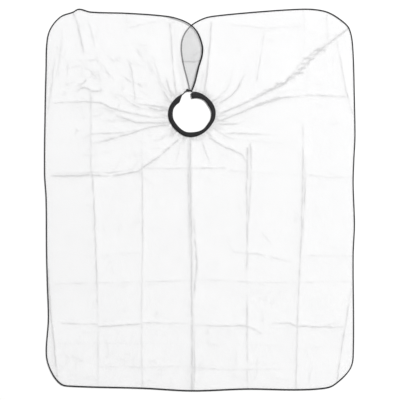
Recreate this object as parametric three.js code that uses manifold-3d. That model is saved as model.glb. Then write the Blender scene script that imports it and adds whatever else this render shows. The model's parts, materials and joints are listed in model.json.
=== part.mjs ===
// A barber cape laid flat on its back: a thin cloth with a bound edge, an elastic neckband, and a back
// opening whose two flaps lap and close with one press stud at the neck.
//
// Frame: millimetres, +Z up, the cape's underside on z = 0, the origin under the centre of its outline.
// +Y points from the front hem to the back opening, and +X to the flap that lies underneath.

import * as THREE from 'three';
import { mergeVertices } from 'three/addons/utils/BufferGeometryUtils.js';
import Module from 'manifold-3d';

// ---------------------------------------------------------------- driving dimensions

const cape_width = 1212;
const cape_length = 1496;
const corner_radius = 105;
const back_edge_dip = 27; // how far the top edge falls from the corners to the fold lines

const cloth_thickness = 0.5;
const tape_thickness = 0.5; // binding tape, one layer
const hem_width = 5; // binding seen along the outer edge
const neck_tape_width = 3; // binding seen along the neck edge
const fit_gap = 0.3; // between pieces that are sewn or laid together
const fold_gap = 0.5; // between a flap's pieces and the cape's at a fold line

const neck_x = -30; // neck centre
const neck_drop = 414; // neck centre below the cape's top
const band_radius = 88.2; // neckband, outer edge
const band_width = 17.2;
const casing_wall = 0.6;
const elastic_thickness = 1.6;

const band_right_end = 92; // the neckband's ends at the back, in degrees round the neck from +X
const band_left_end = 116;
const band_end_slant = 16; // the left end is cut on a slant, so it ends this much sooner at its inner edge

const lap_top = 65; // where the flaps' edges cross, below the cape's top
const lap_top_shift = 4; // and to the left of the neck centre
const left_lap = 42; // how far the upper flap's edge bulges past the neck centre
const right_lap = 43; // how far the lower flap's edge bulges the other way
const left_fold_top_x = -140;
const right_fold_top_x = 60;
const top_edge_bow = 6; // of a flap's top edge, between its fold line and the crossing
const left_corner_shift = 1; // the flaps' corners at the neck: to the left of the neck centre,
const left_corner_rise = 6.5; // and out from the neck edge
const right_corner_shift = 10;
const right_corner_rise = 5;
const neck_edge_run = 0.3; // share of a flap's neck edge that keeps to the tangent of the neck

// Each flap's edge on its way down from the crossing: the share of the way to its corner, and the share of its
// lap that it bulges by there.
const left_lap_places = [[0.14, 0.66], [0.38, 1], [0.66, 0.6]];
const right_lap_places = [[0.14, 0.64], [0.34, 0.9], [0.6, 0.66]];

const snap_radius = 4.2;
const snap_stem_radius = 1;
const snap_knob_radius = 2;
const snap_flange = 0.6;
const snap_knob_height = 1.6;
const snap_slack = 0.4; // round the knob inside the socket
const snap_knob_waist = 0.3; // how much the knob narrows above and below its widest place
const snap_knob_widest = 0.6; // share of the knob's height where it is widest
const snap_crown = 0.7; // the flat middle of the domed cap, as a share of its radius

const ROUND_STEPS = 40;
const CORNER_STEPS = 6; // for each eighth of a turn
const NECK_STEPS = 12;
const SAME_PLACE = 1e-6;
const MERGE_REACH = 1e-5;

// ---------------------------------------------------------------- places worked out from them

const half_width = cape_width / 2;
const half_length = cape_length / 2;
const neck_y = half_length - neck_drop;
const hem_height = 2 * tape_thickness + 2 * fit_gap + cloth_thickness;
const cloth_inset = tape_thickness + fit_gap; // from an edge to the cloth inside its binding
const neck_radius = band_radius + fit_gap; // inner edge of the neck tape
const casing_height = 2 * casing_wall + 2 * fit_gap + elastic_thickness;

// the press stud, from the floor up
const tab_z = snap_flange + fit_gap;
const tab_thickness = 2 * tape_thickness;
const stud_z = tab_z + tab_thickness + fit_gap;
const knob_z = stud_z + snap_flange;
const knob_top = knob_z + snap_knob_height;
const socket_z = knob_z + fit_gap;
const cavity_top = knob_top + snap_slack;
const socket_top = cavity_top + snap_flange;
const upper_cloth_z = socket_top + fit_gap;
const upper_layer_z = upper_cloth_z - cloth_inset; // underside of the upper flap's bindings
const cap_z = upper_cloth_z + cloth_thickness + fit_gap;
const stem_hole = snap_stem_radius + fit_gap;

// the fold lines: from the neck tape at each end of the band to the cape's top edge
const left_foot_angle = 115;
const right_foot_angle = 88;
const fold_top_y = half_length - back_edge_dip;

const rad = (degrees) => (degrees * Math.PI) / 180;
const point = (x, y) => new THREE.Vector2(x, y);

// A place on the cape's neck edge.
function neckPoint(angle) {
  return point(neck_x + neck_radius * Math.cos(rad(angle)), neck_y + neck_radius * Math.sin(rad(angle)));
}

const left_foot = neckPoint(left_foot_angle);
const right_foot = neckPoint(right_foot_angle);
const left_fold_top = point(left_fold_top_x, fold_top_y);
const right_fold_top = point(right_fold_top_x, fold_top_y);
const left_fold = left_fold_top.clone().sub(left_foot).normalize(); // foot to top
const right_fold = right_fold_top.clone().sub(right_foot).normalize();
const foot_step = (fold_gap / 2 / neck_radius) * (180 / Math.PI);

const crossing = point(neck_x - lap_top_shift, half_length - lap_top);
const left_corner = point(neck_x - left_corner_shift, neck_y + neck_radius + left_corner_rise);
const right_corner = point(neck_x - right_corner_shift, neck_y + neck_radius + right_corner_rise);

// ---------------------------------------------------------------- outlines

// Places across the lap, between the crossing and a flap's corner. A negative lap bulges to the left.
function lapPoints(corner, lap, places) {
  return places.map(([share, bulge]) => crossing.clone().lerp(corner, share).add(point(bulge * lap, 0)));
}

// The middle of a flap's top edge.
function topMiddle(fold_top) {
  return fold_top.clone().lerp(crossing, 0.5).add(point(0, top_edge_bow));
}

// The outer edge of the cape between the two fold lines, round the left side, the front and the right side.
function capeEdge() {
  const left = -half_width + corner_radius;
  const right = half_width - corner_radius;
  const top = half_length - corner_radius;
  const path = new THREE.Path();
  path.moveTo(left_fold_top.x - fold_gap / 2, left_fold_top.y);
  path.lineTo(left, half_length);
  path.absarc(left, top, corner_radius, rad(90), rad(180), false);
  path.lineTo(-half_width, -top);
  path.absarc(left, -top, corner_radius, rad(180), rad(270), false);
  path.lineTo(right, -half_length);
  path.absarc(right, -top, corner_radius, rad(270), rad(360), false);
  path.lineTo(half_width, top);
  path.absarc(right, top, corner_radius, rad(0), rad(90), false);
  path.lineTo(right_fold_top.x + fold_gap / 2, right_fold_top.y);
  return distinct(path.getPoints(CORNER_STEPS));
}

// The upper flap's edge, from its fold line along the top and down its side of the back opening.
function leftFlapEdge() {
  const curve = new THREE.SplineCurve([
    point(left_fold_top.x + fold_gap / 2, left_fold_top.y),
    topMiddle(left_fold_top),
    crossing,
    ...lapPoints(left_corner, left_lap, left_lap_places),
    left_corner,
  ]);
  return curve.getPoints(ROUND_STEPS);
}

// The lower flap's edge, from its fold line along the top and down its side, under the upper flap.
function rightFlapEdge() {
  const curve = new THREE.SplineCurve([
    point(right_fold_top.x - fold_gap / 2, right_fold_top.y),
    topMiddle(right_fold_top),
    crossing,
    ...lapPoints(right_corner, -right_lap, right_lap_places),
    right_corner,
  ]);
  return curve.getPoints(ROUND_STEPS);
}

// The neck edge from the right fold line round the front of the neck to the left one, clockwise.
function capeNeckEdge() {
  const path = new THREE.Path();
  const start = rad(right_foot_angle - foot_step);
  path.absarc(neck_x, neck_y, neck_radius, start, rad(left_foot_angle + foot_step - 360), true);
  return distinct(path.getPoints(ROUND_STEPS));
}

// A flap's neck edge, from its fold line to its corner. It leaves the neck circle along its tangent.
function flapNeckEdge(angle, corner, turn) {
  const foot = neckPoint(angle);
  const reach = neck_edge_run * foot.distanceTo(corner);
  const tangent = point(-Math.sin(rad(angle)), Math.cos(rad(angle))).multiplyScalar(turn * reach);
  const control = foot.clone().add(tangent);
  return new THREE.QuadraticBezierCurve(foot, control, corner).getPoints(NECK_STEPS);
}

function distinct(points) {
  return points.filter((p, i) => i === 0 || p.distanceTo(points[i - 1]) > SAME_PLACE);
}

// ---------------------------------------------------------------- strips along an outline

// Moves an outline sideways. side is +1 for the left of its direction of travel and -1 for the right.
// start and end are the directions that its ends move in, along a fold line, instead of square to it.
function offset(points, distance, side, start, end) {
  const last = points.length - 1;
  return points.map((p, i) => {
    const into = squareTo(points, Math.max(i - 1, 0), side);
    const out = squareTo(points, Math.min(i, last - 1), side);
    const middle = into.clone().add(out).normalize();
    const along = (i === 0 && start) || (i === last && end) || middle;
    return p.clone().add(along.clone().multiplyScalar(distance / along.dot(out)));
  });
}

// The direction square to the outline's leg that begins at points[i].
function squareTo(points, i, side) {
  const leg = points[i + 1].clone().sub(points[i]).normalize();
  return point(-leg.y * side, leg.x * side);
}

// Shortens an outline at its end, or lengthens it there where length is negative.
function trimEnd(points, length) {
  const kept = points.map((p) => p.clone());
  let left = length;
  while (left > 0 && kept.length > 2 && kept.at(-1).distanceTo(kept.at(-2)) <= left) {
    left -= kept.at(-1).distanceTo(kept.at(-2));
    kept.pop();
  }
  const ahead = kept.at(-1).clone().sub(kept.at(-2)).normalize();
  kept.at(-1).sub(ahead.multiplyScalar(left));
  return kept;
}

function trimStart(points, length) {
  return trimEnd([...points].reverse(), length).reverse();
}

function plate(points, z, thickness, holes = []) {
  const shape = new THREE.Shape(THREE.ShapeUtils.isClockWise(points) ? [...points].reverse() : points);
  shape.holes = holes;
  const geometry = new THREE.ExtrudeGeometry(shape, { depth: thickness, bevelEnabled: false });
  return geometry.translate(0, 0, z);
}

function strip(points, near, far, side, ends, z, thickness) {
  const outline = offset(points, near, side, ...ends);
  const inner = offset(points, far, side, ...ends).reverse();
  return plate([...outline, ...inner], z, thickness);
}

const run_out = 2; // how far a cutting shape passes the piece it cuts

// A tape folded over an edge: two walls and a spine, with a slot that the cloth's edge lies in. The slot
// runs out at both ends, and stops one tape thickness short of a closed far end.
function binding(points, width, side, ends, z, closedEnd = false) {
  const body = solid(strip(points, 0, width, side, ends, z, hem_height));
  const slot_edge = trimEnd(trimStart(points, -run_out), closedEnd ? tape_thickness : -run_out);
  const slot_z = z + tape_thickness;
  const slot_height = hem_height - 2 * tape_thickness;
  const slot = solid(strip(slot_edge, tape_thickness, width + run_out, side, ends, slot_z, slot_height));
  return body.subtract(slot);
}

// ---------------------------------------------------------------- solids

const wasm = await Module();
wasm.setup();

function solid(geometry) {
  const bare = geometry.clone();
  bare.deleteAttribute('normal');
  bare.deleteAttribute('uv');
  const merged = mergeVertices(bare, MERGE_REACH);
  return new wasm.Manifold(
    new wasm.Mesh({
      numProp: 3,
      vertProperties: new Float32Array(merged.attributes.position.array),
      triVerts: new Uint32Array(merged.index.array),
    }),
  );
}

function shaped(manifold) {
  const mesh = manifold.getMesh();
  const geometry = new THREE.BufferGeometry();
  geometry.setAttribute('position', new THREE.BufferAttribute(new Float32Array(mesh.vertProperties), 3));
  geometry.setIndex(new THREE.BufferAttribute(new Uint32Array(mesh.triVerts), 1));
  geometry.computeVertexNormals();
  return geometry;
}

function turned(profile) {
  const points = profile.map(([r, z]) => point(r, z));
  return new THREE.LatheGeometry([...points, points[0]], ROUND_STEPS).rotateX(Math.PI / 2);
}

// ---------------------------------------------------------------- materials

const materials = {
  cloth: new THREE.MeshStandardMaterial({ color: 0xf4f4f5, roughness: 0.45, metalness: 0 }),
  tape: new THREE.MeshStandardMaterial({ color: 0x1c1c1e, roughness: 0.7, metalness: 0 }),
  knit: new THREE.MeshStandardMaterial({ color: 0x262628, roughness: 0.9, metalness: 0 }),
  elastic: new THREE.MeshStandardMaterial({ color: 0x3a3a3c, roughness: 0.85, metalness: 0 }),
  stud: new THREE.MeshStandardMaterial({ color: 0x101012, roughness: 0.3, metalness: 0 }),
};

const cape = new THREE.Group();

function add(name, geometry, material) {
  const mesh = new THREE.Mesh(geometry, material);
  mesh.name = name;
  cape.add(mesh);
}

// ---------------------------------------------------------------- cloth

const cape_edge = capeEdge();
const left_edge = leftFlapEdge();
const right_edge = rightFlapEdge();
const cape_neck = capeNeckEdge();
const left_neck = flapNeckEdge(left_foot_angle - foot_step, left_corner, -1);
const right_neck = flapNeckEdge(right_foot_angle + foot_step, right_corner, 1);

const left_down = left_fold.clone().negate();
const right_down = right_fold.clone().negate();
const corner_trim = 1.5 * neck_tape_width + fit_gap; // a flap's hem stops this short of the neck edge

const snap_place = snapPlace();

// The press stud sits on the upper flap beside its neck tape, two thirds of the way to the corner.
function snapPlace() {
  const clear = neck_tape_width + snap_radius + 2 * fit_gap;
  return offset(left_neck, clear, 1)[(NECK_STEPS * 2) / 3];
}

function stemHole() {
  const hole = new THREE.Path();
  hole.absarc(snap_place.x, snap_place.y, stem_hole, 0, 2 * Math.PI, true);
  return hole;
}

function addCloth() {
  const outer = offset(cape_edge, cloth_inset, 1, left_down, right_down);
  const neck = offset(cape_neck, cloth_inset, 1, right_fold, left_fold);
  add('cape_cloth', plate([...outer, ...neck], cloth_inset, cloth_thickness), materials.cloth);
}

function addFlapCloth(name, edge, neck, side, down, up, z, holes) {
  const outer = offset(trimEnd(edge, corner_trim), cloth_inset, side, down);
  const inner = offset(trimEnd(neck, corner_trim), cloth_inset, -side, up).reverse();
  add(name, plate([...outer, ...inner], z, cloth_thickness, holes), materials.cloth);
}

addCloth();
addFlapCloth('left_flap_cloth', left_edge, left_neck, -1, left_down, left_fold, upper_cloth_z, [stemHole()]);
addFlapCloth('right_flap_cloth', right_edge, right_neck, 1, right_down, right_fold, cloth_inset, []);

// ---------------------------------------------------------------- bindings

function addHems() {
  const cape_hem = binding(cape_edge, hem_width, 1, [left_down, right_down], 0);
  const left_hem = binding(trimEnd(left_edge, corner_trim), hem_width, -1, [left_down], upper_layer_z);
  const right_hem = binding(trimEnd(right_edge, corner_trim), hem_width, 1, [right_down], 0);
  add('cape_hem_binding', shaped(cape_hem), materials.tape);
  add('left_flap_hem_binding', shaped(left_hem), materials.tape);
  add('right_flap_hem_binding', shaped(right_hem), materials.tape);
}

function addNeckTapes() {
  const cape_tape = binding(cape_neck, neck_tape_width, 1, [right_fold, left_fold], 0);
  const left_ends = [left_fold, upAlong(left_edge)];
  const right_ends = [right_fold, upAlong(right_edge)];
  const left_tape = binding(left_neck, neck_tape_width, 1, left_ends, upper_layer_z, true);
  const right_tape = binding(right_neck, neck_tape_width, -1, right_ends, 0, true);
  add('cape_neck_binding', shaped(cape_tape), materials.tape);
  add('left_flap_neck_binding', shaped(left_tape), materials.tape);
  add('right_flap_neck_binding', shaped(right_tape.add(tab())), materials.tape);
}

// The lower flap's neck tape runs on past its corner as a short doubled tab that carries the stud.
function tab() {
  const disc = turned([
    [stem_hole, tab_z],
    [snap_radius + fit_gap, tab_z],
    [snap_radius + fit_gap, tab_z + tab_thickness],
    [stem_hole, tab_z + tab_thickness],
  ]);
  const half_tail = neck_tape_width / 2 - fit_gap;
  const middle = stem_hole + tape_thickness;
  const tail_end = trimEnd(right_neck, tape_thickness / 2).at(-1);
  const tail_start = tail_end.clone().sub(snap_place).setLength(middle).add(snap_place);
  const tail = [tail_start, tail_end];
  const outline = [...offset(tail, half_tail, 1), ...offset(tail, half_tail, -1).reverse()];
  const round = solid(disc.translate(snap_place.x, snap_place.y, 0));
  return round.add(solid(plate(outline, tab_z, tab_thickness)));
}

// The direction that a flap's edge leaves its neck corner in, which the end of its neck tape lies along.
function upAlong(edge) {
  return edge.at(-2).clone().sub(edge.at(-1)).normalize();
}

addHems();
addNeckTapes();

// ---------------------------------------------------------------- neckband

// A flat ring sector. The far end is cut on a slant, further round at the inner edge than at the outer one.
function ringSector(inner, outer, start, end, slant) {
  const path = new THREE.Path();
  path.absarc(neck_x, neck_y, outer, rad(start), rad(end), true);
  const outside = path.getPoints(ROUND_STEPS);
  const back = new THREE.Path();
  back.absarc(neck_x, neck_y, inner, rad(end + slant), rad(start), false);
  return distinct([...outside, ...back.getPoints(ROUND_STEPS)]);
}

function addNeckband() {
  const start = band_right_end;
  const end = band_left_end - 360;
  const inner = band_radius - band_width;
  const hollow_height = casing_height - 2 * casing_wall;
  const past = 3; // degrees that the hollow runs past the casing's ends
  const outline = ringSector(inner, band_radius, start, end, band_end_slant);
  const inside = ringSector(
    inner + casing_wall, band_radius - casing_wall, start + past, end - past, band_end_slant,
  );
  const casing = solid(plate(outline, 0, casing_height));
  const hollow = solid(plate(inside, casing_wall, hollow_height));
  add('neckband_casing', shaped(casing.subtract(hollow)), materials.knit);

  const core_inset = casing_wall + fit_gap;
  const short = 1.5; // degrees that the elastic stops short of the casing's ends
  const core = ringSector(
    inner + core_inset, band_radius - core_inset, start - short, end + short, band_end_slant,
  );
  add('neckband_elastic', plate(core, core_inset, elastic_thickness), materials.elastic);
}

addNeckband();

// ---------------------------------------------------------------- press stud

function addSnapPart(name, profile) {
  const geometry = turned(profile).translate(snap_place.x, snap_place.y, 0);
  add(name, geometry, materials.stud);
}

function addSnap() {
  const flange_radius = snap_radius - fit_gap;
  const bore = stem_hole;
  const knob_neck = snap_knob_radius - snap_knob_waist;
  const cavity = snap_knob_radius + snap_slack;
  const cap_stem_z = knob_top + fit_gap;
  addSnapPart('snap_post', [
    [0, 0],
    [flange_radius, 0],
    [flange_radius, snap_flange],
    [snap_stem_radius, snap_flange],
    [snap_stem_radius, knob_top - fit_gap],
    [0, knob_top - fit_gap],
  ]);
  addSnapPart('snap_stud', [
    [bore, stud_z],
    [flange_radius, stud_z],
    [flange_radius, knob_z],
    [knob_neck, knob_z],
    [snap_knob_radius, knob_z + snap_knob_widest * snap_knob_height],
    [knob_neck, knob_top],
    [bore, knob_top],
  ]);
  addSnapPart('snap_socket', [
    [cavity, socket_z],
    [snap_radius, socket_z],
    [snap_radius, socket_top - fit_gap],
    [snap_radius - fit_gap, socket_top],
    [bore, socket_top],
    [bore, cavity_top],
    [cavity, cavity_top],
  ]);
  addSnapPart('snap_cap', [
    [0, cap_stem_z],
    [snap_stem_radius, cap_stem_z],
    [snap_stem_radius, cap_z],
    [snap_radius, cap_z],
    [snap_radius, cap_z + snap_flange],
    [snap_crown * snap_radius, cap_z + 2 * snap_flange],
    [0, cap_z + 2 * snap_flange],
  ]);
}

addSnap();

export default cape;
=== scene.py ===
import json
import math
import random

import bmesh
import bpy
import numpy as np
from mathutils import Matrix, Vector, noise
from mathutils.geometry import delaunay_2d_cdt
from mathutils.kdtree import KDTree


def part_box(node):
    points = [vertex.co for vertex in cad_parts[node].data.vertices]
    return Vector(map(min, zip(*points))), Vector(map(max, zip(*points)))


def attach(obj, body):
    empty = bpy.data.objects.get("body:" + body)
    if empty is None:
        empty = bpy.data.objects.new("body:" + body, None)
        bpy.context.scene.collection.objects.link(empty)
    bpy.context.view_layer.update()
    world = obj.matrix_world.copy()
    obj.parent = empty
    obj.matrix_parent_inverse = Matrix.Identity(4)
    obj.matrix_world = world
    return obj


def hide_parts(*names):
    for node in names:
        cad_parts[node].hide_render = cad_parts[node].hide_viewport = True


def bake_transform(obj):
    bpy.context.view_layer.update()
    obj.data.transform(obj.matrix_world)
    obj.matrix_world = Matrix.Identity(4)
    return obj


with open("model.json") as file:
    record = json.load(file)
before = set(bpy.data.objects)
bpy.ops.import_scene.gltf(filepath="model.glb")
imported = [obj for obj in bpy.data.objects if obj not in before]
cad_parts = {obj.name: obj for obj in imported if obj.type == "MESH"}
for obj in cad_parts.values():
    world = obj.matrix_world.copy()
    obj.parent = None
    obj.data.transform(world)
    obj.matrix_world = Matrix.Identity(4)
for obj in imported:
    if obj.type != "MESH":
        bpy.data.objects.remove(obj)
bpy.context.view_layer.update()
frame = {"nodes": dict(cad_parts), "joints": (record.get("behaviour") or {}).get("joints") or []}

# A barber cape laid out flat. Plan places and small lengths are in millimetres until a mesh is made.
MM = 0.001

# ---------------------------------------------------------------- the cut, as it lies

_, hem_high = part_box("cape_hem_binding")
band_low, band_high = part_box("neckband_casing")
HALF_WIDTH = hem_high.x / MM
HALF_LENGTH = hem_high.y / MM
NECK = np.array(((band_low.x + band_high.x) / 2, (band_low.y + band_high.y) / 2)) / MM

# Where the laid hem runs: a place along a side, and how far in from that side of the cut it has crept.
LEFT_SIDE = ((623, 8), (513, 4), (333, 0), (104, -2), (4, 4), (-215, 6), (-330, 9), (-466, 13), (-605, 5))
FOOT = (
    (-583, 78), (-545, 28), (-504, 19), (-223, 11), (-29, 1), (184, 8), (376, 5), (486, 11), (525, 24),
    (585, 82),
)
RIGHT_SIDE = ((-615, 6), (-215, 6), (-96, 1), (63, 6), (164, 3), (243, -1), (384, 1), (603, 8))
BACK_RIGHT = ((585, 79), (560, 50), (505, 15), (454, 3), (395, 1), (247, 10), (64, 27), (16, 37))
BACK_LEFT = ((-69, 45), (-129, 29), (-284, 17), (-428, 12), (-474, 1), (-498, 13), (-544, 30), (-583, 74))
CROSSING = (-34, 683)  # where the two back edges cross
LEFT_FLAP_EDGE = ((-31, 429), (-19, 464), (-6, 518), (8, 566), (9, 603), (-9, 654))
RIGHT_FLAP_EDGE = ((-64, 643), (-73, 598), (-66, 538), (-50, 474), (-40, 430))
LEFT_NECK_EDGE = ((-59, 422), (-51, 427), (-43, 429.5), (-31, 429))
RIGHT_NECK_EDGE = ((-33, 425.5), (-40, 430))

LEG_PARTS = 24  # places that a spline first gets between two of its points
HEM_STEP = 7
BENT_HEM = 45  # the stretch of a flap's hem beside its fold, and the step of its places
BENT_STEP = 2
FOLD_STEP = 5
NECK_EDGE_STEP = 1.5
NECK_PLACES = 120
NECK_EASING = 0.5  # radians in which the neck tape comes in from a fold's foot to the seam
HEM_ABOVE_FOOT = 150  # a fold meets the hem at least this far up from its foot
TAPE_HALF = 2.5  # half the width of the folded edge tape
TAPE_HEIGHT = 2.1
NECK_TAPE_HALF = 1.9
CORNER_OVERLAP = 1.6  # how far the upper flap's edge tape runs on past its neck corner
UPPER_LIFT = 4.9  # how much higher the upper flap's edge lies at the neck
CROSSING_LIFT = 3.2
CLOTH_THICKNESS = 0.35
REST = 2.3  # usual height of the laid cloth
EDGE_MID = TAPE_HEIGHT / 2
LEAST_HEIGHT = 0.6


def unit(vector):
    return vector / np.linalg.norm(vector)


def smooth(t):
    t = np.clip(t, 0, 1)
    return t * t * (3 - 2 * t)


def run_along(line):
    """How far each place is from the first, along the line."""
    return np.concatenate([[0], np.cumsum(np.linalg.norm(np.diff(line, axis=0), axis=1))])


def right_of(line):
    """The direction to the right of a plan line at each of its places."""
    way = np.gradient(line, axis=0)
    way /= np.linalg.norm(way, axis=1)[:, None]
    return np.column_stack([way[:, 1], -way[:, 0]])


def waver(x, y, scale, seed):
    """Smooth noise over the plan."""
    return noise.noise(Vector((x / scale, y / scale, seed)))


def patch(x, y, centre, reach):
    """1 at the centre of a soft round patch and 0 well outside it."""
    return math.exp(-(((x - centre[0]) / reach[0]) ** 2 + ((y - centre[1]) / reach[1]) ** 2))


def spline(points, step, leaving=None):
    """A smooth line through the points with a place about every step. It can leave in a given direction."""
    points = np.array(points, float)
    first, last = 2 * points[0] - points[1], 2 * points[-1] - points[-2]
    points = np.vstack([first, points, last])
    line = []
    for leg, (a, b, c, d) in enumerate(zip(points, points[1:], points[2:], points[3:])):
        length = np.linalg.norm(c - b)
        leave = unit(c - a) * length
        if leg == 0 and leaving is not None:
            leave = leaving * length
        arrive = unit(d - b) * length
        for t in np.linspace(0, 1, LEG_PARTS, endpoint=False):
            line.append(
                (2 * t**3 - 3 * t**2 + 1) * b
                + (t**3 - 2 * t**2 + t) * leave
                + (3 * t**2 - 2 * t**3) * c
                + (t**3 - t**2) * arrive
            )
    line.append(points[-2])
    return spaced(np.array(line), step)


def spaced(line, step):
    """The same line with its places evenly spaced."""
    run = run_along(line)
    marks = np.linspace(0, run[-1], max(2, round(run[-1] / step)) + 1)
    return np.column_stack([np.interp(marks, run, column) for column in line.T])


def finer_at_end(line, length, step):
    """The line with close places over its last stretch, where it has to bend."""
    run = run_along(line)
    last = np.flatnonzero(run <= run[-1] - length)[-1]
    return np.vstack([line[:last], spaced(line[last:], step)])


def hem_line():
    """The centre of the edge tape, from the upper flap's neck corner round the cape to the lower flap's."""
    points = [*LEFT_FLAP_EDGE, CROSSING]
    points += [(x, HALF_LENGTH - inset) for x, inset in BACK_LEFT]
    points += [(inset - HALF_WIDTH, y) for y, inset in LEFT_SIDE]
    points += [(x, inset - HALF_LENGTH) for x, inset in FOOT]
    points += [(HALF_WIDTH - inset, y) for y, inset in RIGHT_SIDE]
    points += [(x, HALF_LENGTH - inset) for x, inset in BACK_RIGHT]
    points += [CROSSING, *RIGHT_FLAP_EDGE]
    return spline(points, HEM_STEP)


# The hand-laid neckband is not quite round: degrees round the neck, then the inner and the outer distance.
BAND_EDGES = (
    (110, 60, 87), (92, 62, 88.5), (65, 70, 90.5), (49, 73, 89), (30, 71, 91.5), (10, 75, 92.5),
    (-10, 74, 90), (-32, 69.5, 84), (-50, 70.5, 83.5), (-69, 69, 85), (-90, 68, 88), (-110, 71.5, 89.5),
    (-130, 71, 88), (-148, 71.5, 90), (-168, 76, 94.5), (-182, 76.5, 95.5), (-196, 77.5, 95.5),
    (-212, 73, 93), (-226, 68, 91.5), (-244, 66, 90), (-260, 66, 90),
)
EASING = 10  # degrees to both sides over which the places are eased into each other


def band_edge(angle, column):
    """One edge of the neckband at an angle, eased from one laid place to the next."""
    rows = BAND_EDGES[::-1]
    degrees = math.degrees(angle)
    total = weight = 0.0
    for shift in range(1 - EASING, EASING, 3):
        near = EASING - abs(shift)
        total += near * np.interp(degrees + shift, [r[0] for r in rows], [r[column] for r in rows])
        weight += near
    return total / weight


def band_inner(angle):
    return band_edge(angle, 1)


def band_outer(angle):
    """The outside of the neck seam, which the band is sewn to."""
    return band_edge(angle, 2)


def polar(angle, radius):
    return NECK + radius * np.array((math.cos(angle), math.sin(angle)))


def fold_of(name):
    """The foot of a flap's fold and the direction up it, in plan."""
    found = next(j for j in frame["joints"] if j["name"] == name)
    foot = np.array(found["pos_m"][:2]) / MM
    up = np.array(found["axis"][:2])
    return foot, up * (1 if up[1] > 0 else -1)


def cut(line, foot, up):
    """Splits a line where it crosses the fold well above its foot."""
    side = (line - foot) @ np.array((-up[1], up[0]))
    for i in range(len(line) - 1):
        if side[i] * side[i + 1] <= 0 and line[i][1] > foot[1] + HEM_ABOVE_FOOT:
            share = side[i] / (side[i] - side[i + 1])
            place = line[i] * (1 - share) + line[i + 1] * share
            return np.vstack([line[: i + 1], place]), np.vstack([place, line[i + 1 :]])
    raise ValueError("the line doesn't cross the fold")


LEFT_FOOT, LEFT_UP = fold_of("left_flap_fold")
RIGHT_FOOT, RIGHT_UP = fold_of("right_flap_fold")
LEFT_IN = np.array((LEFT_UP[1], -LEFT_UP[0]))  # across the fold, into the flap
RIGHT_IN = np.array((-RIGHT_UP[1], RIGHT_UP[0]))

left_hem, rest_of_hem = cut(hem_line(), LEFT_FOOT, LEFT_UP)
right_hem, main_hem = cut(rest_of_hem[::-1], RIGHT_FOOT, RIGHT_UP)
left_hem = finer_at_end(left_hem, BENT_HEM, BENT_STEP)
right_hem = finer_at_end(right_hem, BENT_HEM, BENT_STEP)
left_fold = spaced(np.array([LEFT_FOOT, left_hem[-1]]), FOLD_STEP)
right_fold = spaced(np.array([RIGHT_FOOT, right_hem[-1]]), FOLD_STEP)


def neck_line():
    """The centre of the neck tape on the main cloth, clockwise from the lower flap's fold to the upper's."""
    start = math.atan2(*(RIGHT_FOOT - NECK)[::-1])
    end = math.atan2(*(LEFT_FOOT - NECK)[::-1]) - 2 * math.pi
    angles = np.linspace(start, end, NECK_PLACES)
    start_gap = np.linalg.norm(RIGHT_FOOT - NECK) - band_outer(start)
    end_gap = np.linalg.norm(LEFT_FOOT - NECK) - band_outer(end)
    ring = []
    for angle in angles[1:-1]:
        near_start = 1 - float(smooth((start - angle) / NECK_EASING))
        near_end = 1 - float(smooth((angle - end) / NECK_EASING))
        gap = start_gap * near_start + end_gap * near_end - NECK_TAPE_HALF * (1 - near_start - near_end)
        ring.append(polar(angle, band_outer(angle) + gap))
    return np.vstack([RIGHT_FOOT, ring, LEFT_FOOT])


main_neck = neck_line()
left_leaving = unit(main_neck[-1] - main_neck[-2])
right_leaving = unit(main_neck[0] - main_neck[1])
left_neck = spline([LEFT_FOOT, *LEFT_NECK_EDGE], NECK_EDGE_STEP, left_leaving)
right_neck = spline([RIGHT_FOOT, *RIGHT_NECK_EDGE], NECK_EDGE_STEP, right_leaving)


# ---------------------------------------------------------------- creases and gathers

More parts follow.
